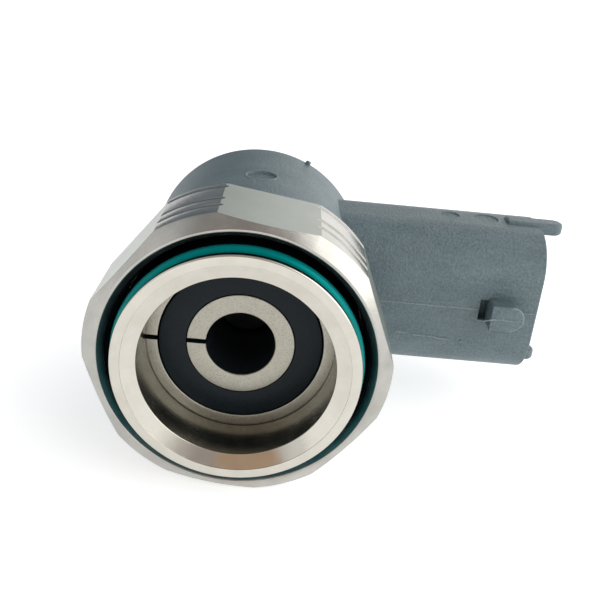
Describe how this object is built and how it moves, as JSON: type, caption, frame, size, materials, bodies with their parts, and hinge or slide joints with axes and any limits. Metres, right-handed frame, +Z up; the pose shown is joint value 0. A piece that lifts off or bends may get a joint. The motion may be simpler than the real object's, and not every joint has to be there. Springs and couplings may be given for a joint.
{
  "type": "cartridge valve solenoid head",
  "caption": "Solenoid head of a cartridge valve: steel sleeve with slit pot core and coil, captive hexagon union nut and moulded cap with side plug.",
  "frame": {"origin": "centre of the bounding box at the height of the surface that the nut lies on", "axes": "+X out of the side plug, +Y along the valve axis from the open sleeve to the plastic cap, +Z up with the head lying on its nut"},
  "size_m": [0.0542, 0.0362, 0.0311],
  "materials": {
    "nut_steel": "satin, turned corners and milled flats",
    "sleeve_steel": "bright turned",
    "spring_steel": "satin",
    "sintered_core": "matt, finely speckled",
    "seal_green": "smooth",
    "seal_black": "smooth",
    "coil_plastic": "satin moulded",
    "winding_copper": "enamelled wire",
    "terminal_metal": "tinned",
    "housing_plastic": "matt moulded, fine mould texture"
  },
  "bodies": {
    "magnet_group": {"magnet_sleeve": "sleeve_steel", "sleeve_o_ring": "seal_green", "sleeve_rear_seal": "seal_black", "magnet_core": "sintered_core", "coil_cover_ring": "coil_plastic", "coil_bobbin": "coil_plastic", "coil_winding": "winding_copper", "core_spring_washer": "spring_steel", "core_support_disc": "spring_steel", "spring_preload_shim": "spring_steel", "pin_seal_1": "seal_black", "pin_seal_2": "seal_black", "coil_lead_1": "winding_copper", "coil_lead_2": "winding_copper", "terminal_blade_1": "terminal_metal", "terminal_blade_2": "terminal_metal", "terminal_carrier": "coil_plastic", "plastic_housing": "housing_plastic"},
    "nut": {"union_nut": "nut_steel"}
  },
  "joints": [
    {"name": "nut_spin", "type": "hinge", "parent": "magnet_group", "child": "nut", "pos_m": [-0.01129, -0.01105, 0.01556], "axis": [0, 1, 0], "continuous": true}
  ]
}
